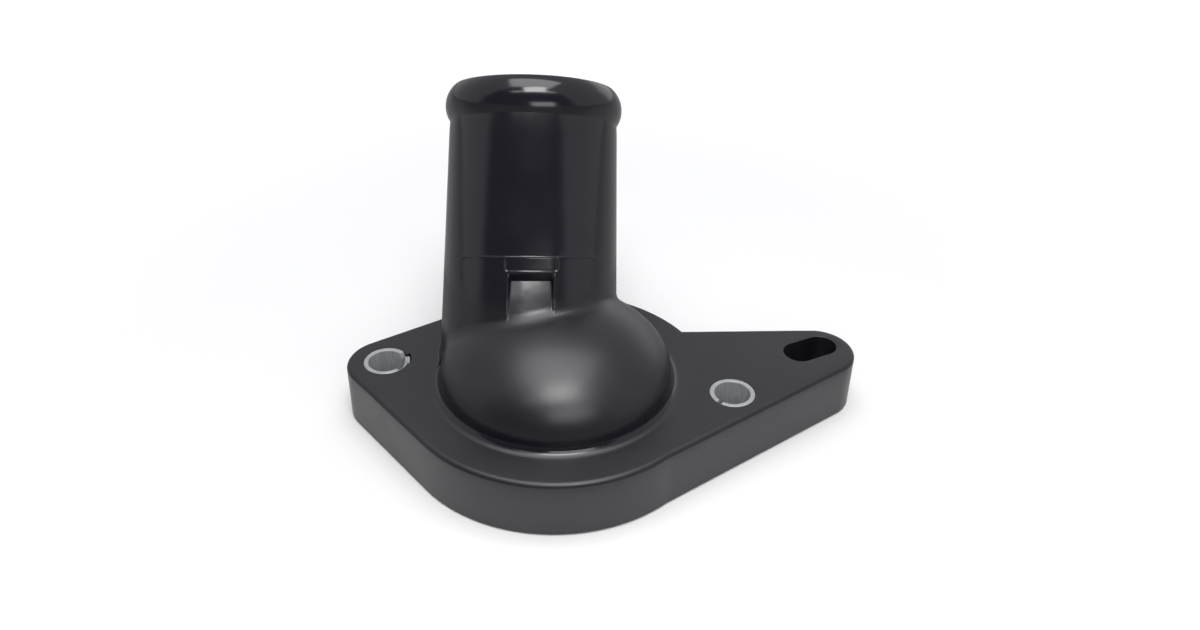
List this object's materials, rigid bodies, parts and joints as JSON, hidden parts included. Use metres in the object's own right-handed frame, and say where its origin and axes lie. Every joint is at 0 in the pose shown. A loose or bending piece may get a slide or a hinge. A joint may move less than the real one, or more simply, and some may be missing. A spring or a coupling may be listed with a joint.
{
  "type": "thermostat housing",
  "caption": "Moulded plastic coolant outlet with a domed chamber, a leaning beaded hose spigot and a lobed mounting flange with metal compression limiters and an adjusting slot.",
  "frame": {"origin": "on the sealing face's plane, under the middle of the whole part's length and depth", "axes": "+Z away from the engine, square to the sealing face; +X along the line of the two bolts, towards the slotted ear; +Y towards the back, the way the spigot leans"},
  "size_m": [0.1032, 0.0816, 0.0658],
  "materials": {
    "black_moulded_plastic": "satin black glass-filled nylon, as moulded",
    "zinc_plated_steel": "zinc plated, dull silver",
    "seal_rubber": "matt black rubber"
  },
  "bodies": {
    "root": {"housing": "black_moulded_plastic", "limiter_left": "zinc_plated_steel", "limiter_right": "zinc_plated_steel", "face_seal": "seal_rubber"}
  },
  "joints": []
}
